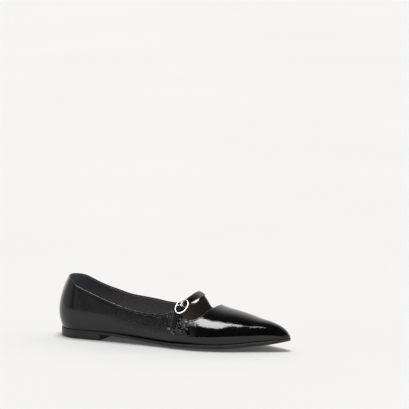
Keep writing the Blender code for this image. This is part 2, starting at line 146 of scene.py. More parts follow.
# Place, height of the topline as a share of the back height
TOP_OUTER = (
    (0.000, 1.000),
    (0.050, 0.960),
    (0.100, 0.888),
    (0.150, 0.817),
    (0.267, 0.663),
    (0.356, 0.572),
    (0.445, 0.528),
    (0.489, 0.527),
    (0.523, 0.553),
    (0.540, 0.586),
    (0.551, 0.625),
    (0.557, 0.668),
    (0.564, 0.688),
    (0.576, 0.688),
    (0.583, 0.640),
    (0.588, 0.590),
    (0.594, 0.546),
    (0.602, 0.521),
    (0.6155, 0.491),
    (0.631, 0.480),
    (0.652, 0.503),
    (0.668, 0.550),
    (0.682, 0.628),
    (0.695, 0.662),
)
TOP_INNER = (
    (0.000, 1.000),
    (0.050, 0.955),
    (0.100, 0.875),
    (0.150, 0.795),
    (0.210, 0.725),
    (0.269, 0.670),
    (0.333, 0.645),
    (0.386, 0.623),
    (0.432, 0.595),
    (0.458, 0.586),
    (0.515, 0.586),
    (0.545, 0.597),
    (0.562, 0.640),
    (0.573, 0.698),
    (0.583, ROOT_TOP),
    (0.603, ROOT_TOP),
    (0.606, 0.672),
    (0.6095, 0.606),
    (0.616, 0.548),
    (0.628, 0.522),
    (0.644, 0.528),
    (0.664, 0.566),
    (0.681, 0.628),
    (0.695, 0.662),
)


# %% [markdown]
# A monotone cubic curve passes through every row of a table without overshooting it, so a sole
# that is flat between two rows stays flat. The toe ends round because the curve is drawn through
# the squares of the widths, which fall off evenly, and the width is their square root.


# %% The last
def smooth(at, xs, ys):
    """The value at this place of a row of values, joined by monotone cubic pieces."""
    if at <= xs[0]:
        return ys[0]
    if at >= xs[-1]:
        return ys[-1]
    slopes = [(ys[i + 1] - ys[i]) / (xs[i + 1] - xs[i]) for i in range(len(xs) - 1)]
    ends = [slopes[0]]
    for before, after in zip(slopes, slopes[1:]):
        ends.append(0.0 if before * after <= 0 else 2 * before * after / (before + after))
    ends.append(slopes[-1])
    i = max(k for k in range(len(xs) - 1) if xs[k] <= at)
    wide = xs[i + 1] - xs[i]
    t = (at - xs[i]) / wide
    value = ys[i] * (1 + 2 * t) * (1 - t) ** 2 + ys[i + 1] * t * t * (3 - 2 * t)
    return value + wide * (ends[i] * t * (1 - t) ** 2 - ends[i + 1] * t * t * (1 - t))


def column(table, index):
    return [row[index] for row in table]


def read_table(table, index, x):
    return smooth(x / LENGTH, column(table, 0), column(table, index))


HALF_SQUARES = [((outer + inner) / 2) ** 2 for _, outer, inner in OUTLINE]
CENTRES = [(inner - outer) / 2 for _, outer, inner in OUTLINE]


def half_width(x):
    return BALL_WIDTH * sqrt(smooth(x / LENGTH, column(OUTLINE, 0), HALF_SQUARES))


def centre(x):
    return BALL_WIDTH * smooth(x / LENGTH, column(OUTLINE, 0), CENTRES)


def underside(x):
    """Height of the middle of the sole's underside."""
    return HEEL_LIFT * read_table(UNDERSIDE, 1, x) + TOE_SPRING * read_table(UNDERSIDE, 2, x)


def edge_lift(x):
    return EDGE_LIFT * read_table(UNDERSIDE, 3, x)


def feather(x):
    """Height of the line where the upper meets the sole."""
    return underside(x) + edge_lift(x) + SOLE_THICK * read_table(SOLE_EDGE, 1, x)


SECTION_SQUARES = [
    (place, max(0.0, INSTEP * ridge - feather(place * LENGTH)) ** 2) for place, ridge, *_ in SECTION
]


def section_height(x):
    return sqrt(max(0.0, read_table(SECTION_SQUARES, 1, x)))


def last_point(rib, up):
    """Point on the last. A rib is (x, side, turn), and up is 0 at the sole and 1 on the ridge."""
    x, side, turn = rib
    widest = read_table(SECTION, 3, x)
    if up < WIDEST:
        rise = widest * up / WIDEST
        share = 1 - read_table(SECTION, 4, x) * (1 - up / WIDEST) ** 2
    else:
        angle = (up - WIDEST) / (1 - WIDEST) * pi / 2
        rise = widest + (1 - widest) * sin(angle) ** (2 / read_table(SECTION, 5, x))
        share = cos(angle)
    ridge = BALL_WIDTH * read_table(SECTION, 2, x) if section_height(x) > 0 else centre(x)
    reach = centre(x) + side * half_width(x) - ridge
    return Vector(
        (
            x - AXIS_X * share * cos(turn),
            ridge + reach * share * sin(turn),
            feather(x) + section_height(x) * rise,
        )
    )


def share_at_height(rib, height):
    """Share of the rib at which it reaches this height."""
    x, _, _ = rib
    widest = read_table(SECTION, 3, x)
    tall = section_height(x)
    rise = (height - feather(x)) / tall if tall > 0 else 1.0
    if rise >= 1:
        return 1.0
    if rise < widest:
        return WIDEST * rise / widest
    angle = asin(((rise - widest) / (1 - widest)) ** (read_table(SECTION, 5, x) / 2))
    return WIDEST + (1 - WIDEST) * angle * 2 / pi


def rib_top(rib):
    """Share of the rib at which the leather ends."""
    x, side, turn = rib
    place = (x - AXIS_X * cos(turn)) / LENGTH
    if place >= RIB_BANDS[1][1]:
        return 1.0
    table = TOP_OUTER if side < 0 else TOP_INNER
    return share_at_height(rib, BACK_HEIGHT * smooth(place, column(table, 0), column(table, 1)))


print("width at the ball in mm:", round(2 * half_width(BALL_X) / MM, 1))

# %% [markdown]
# The upper is drawn on ribs: lines that rise from the sole to the ridge or to the topline. They
# stand closer where the topline bends fast, round the tab and the throat, so that its edge is
# smooth there and no faces are wasted on the plain quarters.

# %% Ribs of the upper
# Place where a band of ribs starts, place where it ends, ribs in it, crowding to its start
RIB_BANDS = (
    (1.000, 0.905, 18, 2.0),
    (0.905, 0.695, 24, 1.0),
    (0.695, 0.640, 30, 1.7),
    (0.640, 0.520, 52, 1.0),
    (0.520, 0.115, 44, 1.0),
)
HEEL_RIBS = 26
RIB_ROWS = 46
# How much the rows crowd to the topline, where the folded edge needs them
ROW_CROWD = 1.7


def rib_row():
    """The ribs from the toe, back along the outer side, round the heel and forward again."""
    places = []
    for start, end, count, crowd in RIB_BANDS:
        places += [start + (end - start) * (k / count) ** crowd for k in range(count)]
    outer = [(place * LENGTH, -1, pi / 2) for place in places]
    heel = [(AXIS_X, -1, pi / 2 * (1 - k / HEEL_RIBS)) for k in range(HEEL_RIBS)]
    heel += [(AXIS_X, 1, pi / 2 * k / HEEL_RIBS) for k in range(HEEL_RIBS)]
    inner = [(place * LENGTH, 1, pi / 2) for place in places]
    return outer + heel + [(AXIS_X, 1, pi / 2)] + inner[::-1]


def row_share(row):
    return 1 - (1 - row / RIB_ROWS) ** ROW_CROWD


ribs = rib_row()
tops = [rib_top(rib) for rib in ribs]
print("ribs:", len(ribs), "rows:", RIB_ROWS)


# %% [markdown]
# Every sheet of the shoe starts as a flat grid from one bmesh operator, whose points are then laid
# on the last. A grid keeps tidy rows, so the notes that a material needs, such as how far a point
# lies below the folded edge, can be written on its points as attributes while they are placed.


# %% Grids and pieces
MERGE = 0.01 * MM
TOO_SHORT = 0.004 * MM
# Edges that turn by more than this, in radians, stay sharp
SHARP = 0.9


def grid_of(rows, columns, place_of, notes_of):
    """A grid of points placed by place_of(row, column), with notes written on them."""
    bm = bmesh.new()
    bmesh.ops.create_grid(bm, x_segments=columns - 1, y_segments=rows - 1, size=1)
    names = notes_of(0, 0, place_of(0, 0))
    for name in names:
        bm.verts.layers.float.new(name)
    layers = {name: bm.verts.layers.float[name] for name in names}
    for vert in bm.verts:
        row = round((vert.co.y + 1) / 2 * (rows - 1))
        col = round((vert.co.x + 1) / 2 * (columns - 1))
        vert.co = place_of(row, col)
        for name, value in notes_of(row, col, vert.co).items():
            vert[layers[name]] = value
    bmesh.ops.remove_doubles(bm, verts=bm.verts[:], dist=MERGE)
    bmesh.ops.dissolve_degenerate(bm, edges=bm.edges[:], dist=TOO_SHORT)
    return bm


def face_out(bm):
    """Turns the faces of a closed piece outwards."""
    bmesh.ops.recalc_face_normals(bm, faces=bm.faces[:])
    if bm.calc_volume(signed=True) < 0:
        bmesh.ops.reverse_faces(bm, faces=bm.faces[:])


def leave_piece(bm, name, material, nodes=()):
    """Makes a piece of the bmesh, in the frame's own place, and hides the CAD parts it replaces."""
    bmesh.ops.translate(bm, verts=bm.verts[:], vec=(-AXIS_X, 0, 0))
    mesh = bpy.data.meshes.new(name)
    bm.to_mesh(mesh)
    bm.free()
    mesh.shade_smooth()
    mesh.set_sharp_from_angle(angle=SHARP)
    mesh.materials.append(material)
    piece = bpy.data.objects.new(name, mesh)
    bpy.context.scene.collection.objects.link(piece)
    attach(piece, "root")
    if nodes:
        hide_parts(*nodes)
    print(name, "faces:", len(mesh.polygons))
    return piece


# %% [markdown]
# A material is a small tree of nodes. The helpers below put in the nodes that every look here
# needs, so that each look reads as a list: its tones, how rough it is and what dents it has.


# %% Helpers for materials
def new_material(name, roughness, metallic=0.0):
    material = bpy.data.materials.new(name)
    material.use_nodes = True
    shader = material.node_tree.nodes["Principled BSDF"]
    shader.inputs["Roughness"].default_value = roughness
    shader.inputs["Metallic"].default_value = metallic
    return material, material.node_tree, shader


def maths(tree, how, first, second=0.0):
    node = tree.nodes.new("ShaderNodeMath")
    node.operation = how
    for socket, value in zip(node.inputs, (first, second)):
        if isinstance(value, (int, float)):
            socket.default_value = value
        else:
            tree.links.new(value, socket)
    return node.outputs[0]


def noise(tree, scale, detail, distortion):
    """Noise on the piece's own coordinates."""
    where = tree.nodes.new("ShaderNodeTexCoord")
    node = tree.nodes.new("ShaderNodeTexNoise")
    node.inputs["Detail"].default_value = detail
    node.inputs["Distortion"].default_value = distortion
    if isinstance(scale, (int, float)):
        node.inputs["Scale"].default_value = scale
    else:
        tree.links.new(scale, node.inputs["Scale"])
    tree.links.new(where.outputs["Object"], node.inputs["Vector"])
    return node.outputs["Fac"]


def note(tree, name):
    """A number that was written on the piece's points."""
    node = tree.nodes.new("ShaderNodeAttribute")
    node.attribute_name = name
    return node.outputs["Fac"]


def grey(value):
    return (value, value, value)


def ramp(tree, value, stops):
    """A colour ramp: stops are (position, colour)."""
    node = tree.nodes.new("ShaderNodeValToRGB")
    while len(node.color_ramp.elements) < len(stops):
        node.color_ramp.elements.new(0.5)
    for element, (position, colour) in zip(node.color_ramp.elements, stops):
        element.position = position
        element.color = (*colour, 1)
    tree.links.new(value, node.inputs["Fac"])
    return node.outputs["Color"]


def mottled(tree, grain, dark, pale, dark_to=0.3, pale_from=0.7):
    """A colour between two tones. Its grain is a noise's scale, detail and distortion."""
    return ramp(tree, noise(tree, *grain), ((dark_to, dark), (pale_from, pale)))


def blend(tree, share, first, second):
    """Goes from the first colour to the second as the share goes from 0 to 1."""
    node = tree.nodes.new("ShaderNodeMix")
    node.data_type = "RGBA"
    tree.links.new(share, node.inputs["Factor"])
    for label, colour in (("A", first), ("B", second)):
        if isinstance(colour, tuple):
            node.inputs[label].default_value = (*colour, 1)
        else:
            tree.links.new(colour, node.inputs[label])
    return node.outputs["Result"]


def stacked(tree, layers):
    """The sum of these values, each times its amount."""
    total = 0.0
    for value, amount in layers:
        total = maths(tree, "ADD", total, maths(tree, "MULTIPLY", value, amount))
    return total


def bump(tree, shader, height, distance):
    node = tree.nodes.new("ShaderNodeBump")
    node.inputs["Distance"].default_value = distance
    tree.links.new(height, node.inputs["Height"])
    tree.links.new(node.outputs["Normal"], shader.inputs["Normal"])


# %% [markdown]
# Patent leather is leather under a thick clear varnish. It is nearly black, and all its light is
# mirrored: the floor along its foot, the softbox on its shoulder. So its look comes from a low
# roughness and from small dents that bend the mirror images. Where the varnish is bent often it
# crinkles. The upper and the strap both need crinkles, so a node group makes them once, from a
# folded noise, and each look sets its own size for them.


# %% Node group for crinkles
def new_group(name, numbers, puts_out):
    """A shader node group with these number inputs and outputs."""
    group = bpy.data.node_groups.new(name, "ShaderNodeTree")
    for label, value in numbers:
        socket = group.interface.new_socket(label, in_out="INPUT", socket_type="NodeSocketFloat")
        socket.default_value = value
    for label in puts_out:
        group.interface.new_socket(label, in_out="OUTPUT", socket_type="NodeSocketFloat")
    return group, group.nodes.new("NodeGroupInput"), group.nodes.new("NodeGroupOutput")


SHARPEN = 6.0
CRINKLE, taken, given = new_group("crinkle", (("Scale", 200.0), ("Amount", 1.0)), ("Height",))
folded = maths(CRINKLE, "SUBTRACT", noise(CRINKLE, taken.outputs["Scale"], 1.5, 1.6), 0.5)
folded = maths(CRINKLE, "ABSOLUTE", folded)
folded = maths(CRINKLE, "MINIMUM", maths(CRINKLE, "MULTIPLY", folded, SHARPEN), 1.0)
CRINKLE.links.new(
    maths(CRINKLE, "MULTIPLY", folded, taken.outputs["Amount"]), given.inputs["Height"]
)


def crinkle(tree, scale, amount):
    node = tree.nodes.new("ShaderNodeGroup")
    node.node_tree = CRINKLE
    node.inputs["Scale"].default_value = scale
    tree.links.new(amount, node.inputs["Amount"])
    return node.outputs["Height"]


# %% [markdown]
# Four layers of dents lie on the upper: slow waves, small crinkles, the large wrinkles round the
# tab and the groove beside the topline. Notes on the points say how strong each is at a place.


# %% Patent leather
def patent_tone(tree):
    return mottled(tree, (60, 3, 0.2), (0.002, 0.002, 0.0025), (0.005, 0.005, 0.0055))


PATENT, tree, shader = new_material("patent_leather_look", 0.075)
tree.links.new(patent_tone(tree), shader.inputs["Base Color"])
height = stacked(
    tree,
    (
        (noise(tree, 42, 1, 0.4), 0.85),
        (crinkle(tree, 260, note(tree, "fine")), 0.34),
        (crinkle(tree, 140, note(tree, "wrinkle")), 3.0),
        (note(tree, "groove"), 0.7),
    ),
)
bump(tree, shader, height, 0.35 * MM)
print("nodes of the patent leather:", len(tree.nodes))

# %% [markdown]
# The lining is plain leather, matte and dark. At the back it is a grip with the nap outward, a
# little bluish, and towards the toe it is painted darker and browner, as painted shade deep in
# the shoe. Notes on the points say where.

# %% Lining leather
LINING, tree, shader = new_material("lining_look", 0.62)
skin = mottled(tree, (900, 3, 0.0), (0.085, 0.081, 0.081), (0.190, 0.180, 0.179), 0.35)
# Painted shade: towards the toe the lining is darker and browner
warm = mottled(tree, (900, 3, 0.0), (0.058, 0.039, 0.027), (0.115, 0.082, 0.060), 0.35)
nap = mottled(tree, (2600, 2, 0.0), (0.075, 0.082, 0.096), (0.175, 0.190, 0.215))
tone = blend(tree, note(tree, "grip"), blend(tree, note(tree, "warm"), skin, warm), nap)
tree.links.new(tone, shader.inputs["Base Color"])
bump(tree, shader, noise(tree, 1100, 4, 0.3), 0.12 * MM)
print("nodes of the lining:", len(tree.nodes))

# %% [markdown]
# The sole's edge is painted nearly black, with faint lines of its layers. In front a thin gold
# line runs under the seam, and where the upper sinks in, the top of the edge is painted black
# and matte, as painted shade in that joint.
# Each point of a sole holds its level, from 0 at the bottom to 1 at the top, and these follow it.

# %% Sole and heel
LAYER_LINES = 44.0
GOLD_LINE = ((0.0, grey(0.0)), (0.66, grey(0.0)), (0.70, grey(1.0)), (0.80, grey(0.0)))
# From these levels up, the sole's edge and ledge are painted black and matte: painted shade in the
# joint
SEAM_SHADE_START = 0.84
SEAM_SHADE_FULL = 0.87
SOLE, tree, shader = new_material("sole_look", 0.42)
level = note(tree, "level")
paint = mottled(tree, (500, 3, 0.1), (0.012, 0.011, 0.011), (0.021, 0.020, 0.019))
gilt = maths(tree, "MULTIPLY", ramp(tree, level, GOLD_LINE), note(tree, "front"))
# Painted shade: the top of the edge goes black where the upper sinks in
seam_shade = ramp(tree, level, ((SEAM_SHADE_START, grey(0.0)), (SEAM_SHADE_FULL, grey(1.0))))
tone = blend(tree, seam_shade, blend(tree, gilt, paint, (0.16, 0.115, 0.055)), grey(0.001))
tree.links.new(tone, shader.inputs["Base Color"])
rough = ramp(tree, level, ((SEAM_SHADE_START, grey(0.5)), (SEAM_SHADE_FULL, grey(0.85))))
tree.links.new(rough, shader.inputs["Roughness"])
lines = maths(tree, "SINE", maths(tree, "MULTIPLY", level, LAYER_LINES))
bump(tree, shader, stacked(tree, ((noise(tree, 700, 3, 0.2), 1.0), (lines, 0.25))), 0.1 * MM)
print("nodes of the sole:", len(tree.nodes))

# %% [markdown]
# The buckle is polished wire, so it mirrors the room sharply and needs only a faint unevenness.

# %% Buckle metal
METAL, tree, shader = new_material("buckle_look", 0.14, 1.0)
bright = mottled(tree, (350, 3, 0.0), (0.50, 0.48, 0.46), (0.66, 0.64, 0.61))
tree.links.new(bright, shader.inputs["Base Color"])
bump(tree, shader, noise(tree, 900, 2, 0.0), 0.02 * MM)
print("nodes of the buckle's metal:", len(tree.nodes))

# %% [markdown]
# The leather of a worn or lasted shoe isn't as smooth as the last. It draws into short folds where
# the tab pulls on it, and bends in soft troughs behind the ball. Each fold is a row here: a line
# on the upper from one point to another, with its half width and depth in millimetres. A negative
# depth is a ridge.

# %% Creases of the upper
# Side, place and share up of one end, place and share up of the other, half width, depth
CREASES = (
    (-1, 0.520, 0.46, 0.560, 0.34, 2.2, 0.35),
    (-1, 0.545, 0.50, 0.585, 0.36, 2.0, -0.30),
    (-1, 0.580, 0.48, 0.606, 0.33, 2.2, 0.38),
    (-1, 0.612, 0.46, 0.628, 0.28, 2.4, -0.28),
    (-1, 0.634, 0.42, 0.650, 0.27, 2.6, 0.16),
    (-1, 0.672, 0.50, 0.684, 0.36, 3.4, -0.08),
    (1, 0.560, 0.50, 0.590, 0.30, 2.6, 0.30),
    (1, 0.610, 0.48, 0.640, 0.28, 2.8, 0.34),
    (1, 0.655, 0.56, 0.680, 0.34, 3.0, -0.24),
    (1, 0.690, 0.64, 0.710, 0.40, 3.4, 0.26),
)
# Length of a rib in millimetres, near enough for the folds
RIB_REACH = 74
print("creases:", len(CREASES))


def relief(rib, up):
    """Depth of the folds at this point, in millimetres, positive inwards."""
    x, side, turn = rib
    if turn < pi / 2:
        return 0.0
    here = Vector((x / MM, up * RIB_REACH))
    total = 0.0
    for row_side, place_a, up_a, place_b, up_b, half, depth in CREASES:
        if row_side != side:
            continue
        start = Vector((place_a * LENGTH / MM, up_a * RIB_REACH))
        along = Vector((place_b * LENGTH / MM, up_b * RIB_REACH)) - start
        t = min(1.0, max(0.0, (here - start).dot(along) / along.length_squared))
        off = (here - start - t * along).length / half
        total += depth * exp(-off * off) * (0.35 + 0.65 * sin(pi * min(1.0, max(0.0, t))))
    return total


def fade(value, start, end):
    """0 at start, 1 at end, eased in between."""
    t = min(1.0, max(0.0, (value - start) / (end - start)))
    return t * t * (3 - 2 * t)


def below_edge(row, col):
    """How far this row lies under the topline, in millimetres."""
    if tops[col] >= 1:
        return RIB_REACH
    return tops[col] * (1 - row_share(row)) * RIB_REACH


# %% [markdown]
# The notes of the upper follow the real leather: the groove runs beside the topline, the wrinkles
# gather at the tab, and the fine crinkles lie on the quarter, where a foot bends it.

# %% Notes on the upper
# Millimetres from the topline to the groove beside it, and the groove's half width
GROOVE_BELOW = 1.7
GROOVE_HALF = 0.45
# Place of the tab that pulls the leather into wrinkles, and how far they reach
TAB_PLACE = 0.580
TAB_REACH = 0.046


def upper_notes(row, col, point):
    """What the patent leather's material needs to know at this point of the upper."""
    place = point.x / LENGTH
    groove = -exp(-(((below_edge(row, col) - GROOVE_BELOW) / GROOVE_HALF) ** 2))
    near_tab = exp(-(((place - TAB_PLACE) / TAB_REACH) ** 2)) * fade(point.z / MM, 13, 19)
    quarter = fade(place, 0.24, 0.40) * (1 - fade(place, 0.50, 0.58))
    vamp = fade(place, 0.60, 0.66) * (1 - fade(place, 0.72, 0.80))
    return {
        "groove": groove * (0.25 + 0.75 * fade(place, 0.18, 0.36)),
        "wrinkle": min(1.0, near_tab + 0.03 * vamp),
        "fine": 0.12 + 0.88 * quarter * fade(point.z / MM, 12, 20),
    }


# %% [markdown]
# The upper is cut from two layers: the patent leather outside, folded over at the topline, and a
# thin lining inside it that ends just under the fold. Both are laid on the same ribs as a bare
# surface, which is doubled inwards and has its open rims bridged, so each layer is a closed wall.
# The outer layer dips a little below the line of the sole, as the real one is pulled round the
# last's edge.

# %% Upper
PATENT_THICK = 1.0 * MM
LINING_THICK = 0.7 * MM
DIP = 0.35 * MM
FOLD = 0.50 * MM
# Most open edges that a speck has, where the toe's tip doesn't quite close
SPECK = 4


def skin_grid(drop, notes_of):
    """The upper's surface on the last, ending this far below the topline."""

    def skin_point(row, col):
        rib = ribs[col]
        top = tops[col]
        if top < 1:
            top -= drop / MM / RIB_REACH
        point = last_point(rib, top * row_share(row))
        if row == 0:
            point.z -= DIP
        return point

    bm = grid_of(RIB_ROWS + 1, len(ribs), skin_point, notes_of)
    bmesh.ops.recalc_face_normals(bm, faces=bm.faces[:])
    middle = Vector((0.5 * LENGTH, 0, 0.3 * INSTEP))
    if sum((face.calc_center_median() - middle).dot(face.normal) for face in bm.faces) < 0:
        bmesh.ops.reverse_faces(bm, faces=bm.faces[:])
    bm.normal_update()
    return bm


def open_rows(edges):
    """These open edges sorted into rows that touch, without the specks at the toe's tip."""
    left, rows = set(edges), []
    for edge in edges:
        if edge not in left:
            continue
        left.discard(edge)
        row = [edge]
        for known in row:
            touching = [other for vert in known.verts for other in vert.link_edges if other in left]
            row += [other for other in touching if other not in row]
            left.difference_update(touching)
        rows.append(row)
    print("open rows:", [len(row) for row in rows])
    return [row for row in rows if len(row) > SPECK]


def give_wall(bm, outer, inner, depth_of=None, round_of=None):
    """Turns the surface into a wall between these two depths below it. Folds sink both of its
    faces, and the rounding of its edge sinks the outer one."""
    verts = bm.verts[:]
    normals = {vert: vert.normal.copy() for vert in verts}
    rims = [edge for edge in bm.edges if edge.is_boundary]
    copied = bmesh.ops.duplicate(bm, geom=bm.verts[:] + bm.edges[:] + bm.faces[:])
    bmesh.ops.reverse_faces(
        bm, faces=[item for item in copied["geom"] if isinstance(item, bmesh.types.BMFace)]
    )
    twin = copied["vert_map"]
    rim_rows = [(row, [copied["edge_map"][edge] for edge in row]) for row in open_rows(rims)]
    for vert in verts:
        more = depth_of[vert] if depth_of else 0.0
        start = vert.co.copy()
        edge_round = round_of[vert] if round_of else 0.0
        vert.co = start - normals[vert] * (outer + more + edge_round)
        twin[vert].co = start - normals[vert] * (inner + more)
    for row, twin_row in rim_rows:
        bmesh.ops.bridge_loops(bm, edges=row + twin_row)
    return bm


def depths_of(bm, name):
    """The depth that this note gives to each point."""
    layer = bm.verts.layers.float[name]
    return {vert: vert[layer] * MM for vert in bm.verts}


def outer_notes(row, col, point):
    notes = upper_notes(row, col, point)
    notes["fold"] = relief(ribs[col], tops[col] * row_share(row))
    flat = max(0.0, 1 - below_edge(row, col) * MM / FOLD)
    notes["round"] = FOLD / MM * (1 - sqrt(1 - flat * flat))
    return notes


bm = skin_grid(0.0, outer_notes)
give_wall(bm, 0.0, PATENT_THICK, depths_of(bm, "fold"), depths_of(bm, "round"))
face_out(bm)
leave_piece(bm, "upper_patent", PATENT, ("upper",))

# %% [markdown]
# The lining is a second, thinner wall. Its back is a grip of soft leather with the nap outward,
# which keeps the heel from slipping, so its material changes at a seam.

# %% Lining
GRIP_FRONT = 39 * MM
LINING_DROP = 0.9 * MM


def lining_notes(row, col, point):
    return {
        "grip": 1 - fade(point.x, GRIP_FRONT - 0.3 * MM, GRIP_FRONT + 0.3 * MM),
        # Share of painted shade, darker and browner towards the toe
        "warm": fade(point.x, 0.42 * LENGTH, 0.58 * LENGTH),
    }


bm = skin_grid(LINING_DROP, lining_notes)
give_wall(bm, PATENT_THICK + 0.05 * MM, PATENT_THICK + LINING_THICK)
face_out(bm)
lining = leave_piece(bm, "upper_lining", LINING)


# %% [markdown]
# The sole is one thin sheet with a heel block under its back. Its edge runs up and down with the
# arch, and its underside is lifted at the edges under the ball, so it stands on its middle.

# %% Sheets in the sole's outline
HEEL_END = AXIS_X * SECTION[0][4]
SOLE_SOFTEN = 0.45 * MM
INSOLE_THICK = 2.0 * MM
INSOLE_INSET = WALL + 0.4 * MM
INSOLE_SHORT = 8 * MM


def sole_line(x, side):
    """Plan place on the line where the upper meets the sole."""
    middle = centre(max(x, AXIS_X))
    if x >= AXIS_X:
        half = half_width(x) * (1 - read_table(SECTION, 4, x))
    else:
        back = (AXIS_X - x) / (AXIS_X - HEEL_END)
        half = half_width(AXIS_X) * (1 - SECTION[0][4]) * sqrt(max(0.0, 1 - back * back))
    return Vector((x, middle + side * half, 0))


def dish(point):
    """How far the bed of the sole lies below its edge at this plan place."""
    x = min(LENGTH, max(HEEL_END, point.x))
    outer, inner = sole_line(x, -1).y, sole_line(x, 1).y
    reach = abs(2 * point.y - outer - inner) / max(inner - outer, GAP)
    rise = max(0.0, reach - FLAT_SHARE) / (1 - FLAT_SHARE)
    return edge_lift(x) * (1 - min(1.0, rise) ** 2)


def sole_edge_place(x, side, grow):
    """The sole's line moved out by this much, square to itself."""
    step = 0.02 * MM
    before = sole_line(max(HEEL_END, x - step), side)
    after = sole_line(min(LENGTH, x + step), side)
    along = (after - before).normalized()
    if x <= HEEL_END:
        return Vector((x - grow, sole_line(x, side).y, 0))
    if x >= LENGTH:
        return Vector((x + grow, sole_line(x, side).y, 0))
    return sole_line(x, side) + grow * side * Vector((-along.y, along.x, 0))


def make_sheet(reach, grow, pull, top_of, bottom_of, rows, across, soften, top_level=1.0):
    """A sheet in the sole's outline from the back of the heel to reach, its tip pulled back."""
    places = []
    for k in range(rows + 1):
        share = 1 - cos(pi / 2 * k / rows)
        if reach >= LENGTH:
            share = (1 - cos(pi * k / rows)) / 2
        places.append(HEEL_END + (reach - HEEL_END) * share)

    def sheet_point(row, col):
        outer = sole_edge_place(places[row], -1, grow)
        inner = sole_edge_place(places[row], 1, grow)
        point = outer.lerp(inner, col / across)
        point.x -= pull * max(0.0, (point.x - BALL_X) / (LENGTH - BALL_X)) ** 2
        point.z = top_of(point)
        return point

    def sheet_notes(row, col, point):
        return {"level": top_level, "front": fade(point.x, 0.42 * LENGTH, 0.60 * LENGTH)}

    bm = grid_of(rows + 1, across + 1, sheet_point, sheet_notes)
    bmesh.ops.recalc_face_normals(bm, faces=bm.faces[:])
    bm.normal_update()
    if sum(face.normal.z for face in bm.faces) < 0:
        bmesh.ops.reverse_faces(bm, faces=bm.faces[:])
    level = bm.verts.layers.float["level"]
    grown = bmesh.ops.extrude_face_region(bm, geom=bm.faces[:])
    for item in grown["geom"]:
        if isinstance(item, bmesh.types.BMVert):
            item.co.z = bottom_of(item.co)
            item[level] = 0.0
    face_out(bm)
    bm.normal_update()
    rim = []
    for edge in bm.edges:
        normals = sorted(face.normal.z for face in edge.link_faces)
        if len(normals) == 2 and normals[0] < -0.7 and normals[1] > -0.3:
            rim.append(edge)
    if soften:
        bmesh.ops.bevel(
            bm, geom=rim, offset=soften, affect="EDGES", segments=3, profile=0.5, material=-1
        )
    return bm


def sole_top(point):
    return feather(point.x) - dish(point) - GAP


def sole_bottom(point):
    return underside(point.x) + edge_lift(point.x) - dish(point)


def heel_top(point):
    return HEEL_LIFT - GAP / 3


def floor_height(point):
    return 0.0


def board_bottom(point):
    return feather(point.x) - dish(point) + GAP


def board_top(point):
    return feather(point.x) - dish(point) + WALL + GAP + INSOLE_THICK


# %% [markdown]
# Three pieces share that sheet. The outsole stands out a little all round, the heel ends short of
# the arch, and the insole lies inside the wall with its tip drawn back.

# %% Outsole, heel and insole
bm = make_sheet(LENGTH, SOLE_STEP, 0.0, sole_top, sole_bottom, 150, 12, SOLE_SOFTEN)
leave_piece(bm, "outsole_sheet", SOLE, ("outsole",))
bm = make_sheet(HEEL_FRONT, SOLE_STEP, 0.0, heel_top, floor_height, 60, 8, SOLE_SOFTEN, 0.5)
leave_piece(bm, "heel_block", SOLE, ("heel",))
bm = make_sheet(LENGTH, -INSOLE_INSET, INSOLE_SHORT, board_top, board_bottom, 110, 14, 0.0)
bm.verts.layers.float.new("grip")
bm.verts.layers.float.new("warm")
insole = leave_piece(bm, "insole_sock", LINING, ("insole",))

# %% [markdown]
# The strap is a narrow folded band. Its path is a short table of places on the last, and its
# section is a flat oval swept along that path: a grid whose columns run round the section.

# %% Strap's path
STRAP_WIDTH = 7.3 * MM
STRAP_THICK = 1.2 * MM
# The buckle's place on the strap, the height of its bar and how far the strap humps over that
BUCKLE_AT = 0.668
BUCKLE_RISE = 2.35 * MM
BAR = 1.0 * MM
HUMP_REACH = 4.2 * MM
# Share of the strap in which it leaves the inner wall
ROOT_SHARE = 0.25
# Side, share of a rib, place along the length, width as a share of the strap width
STRAP_PATH = (
    (1, 0.700, 0.594, 0.83),
    (1, 0.800, 0.598, 0.94),
    (1, 0.900, 0.603, 1.05),
    (-1, 1.000, 0.607, 1.08),
    (-1, 0.900, 0.606, 1.08),
    (-1, 0.800, 0.600, 1.02),
    (-1, 0.700, 0.589, 0.95),
    (-1, 0.600, 0.579, 0.92),
    (-1, 0.500, 0.571, 0.90),
    (-1, 0.430, 0.567, 0.86),
    (-1, 0.370, 0.563, 0.66),
)


def strap_row(share):
    """Place over the ridge, place along the length and width at this share of the path."""
    steps = [k / (len(STRAP_PATH) - 1) for k in range(len(STRAP_PATH))]
    over = [up if side > 0 else 2 - up for side, up, _, _ in STRAP_PATH]
    place = smooth(share, steps, column(STRAP_PATH, 2))
    width = smooth(share, steps, column(STRAP_PATH, 3))
    return smooth(share, steps, over), place * LENGTH, width * STRAP_WIDTH


def root_share(x):
    """Share of the inner rib at which the strap's root ends in the upper."""
    return share_at_height((x, 1, pi / 2), BACK_HEIGHT * ROOT_TOP + GAP)


def strap_point(share, across):
    """Point on the last under the strap, across from -1 at its back edge to 1 at its front."""
    over, x, width = strap_row(share)
    edge = x + across * width / 2
    level = max(0.0, 1 - share / ROOT_SHARE)
    over += level * (root_share(edge) - STRAP_PATH[0][1])
    side, up = (1, over) if over <= 1 else (-1, 2 - over)
    return last_point((edge, side, pi / 2), up)


def strap_frame(share):
    """Point on the last, direction along the strap and outward direction."""
    step = 0.01
    along = strap_point(min(1.0, share + step), 0) - strap_point(max(0.0, share - step), 0)
    along.normalize()
    out = (strap_point(share, 1) - strap_point(share, -1)).cross(along).normalized()
    return strap_point(share, 0), along, out if out.z > 0 else -out


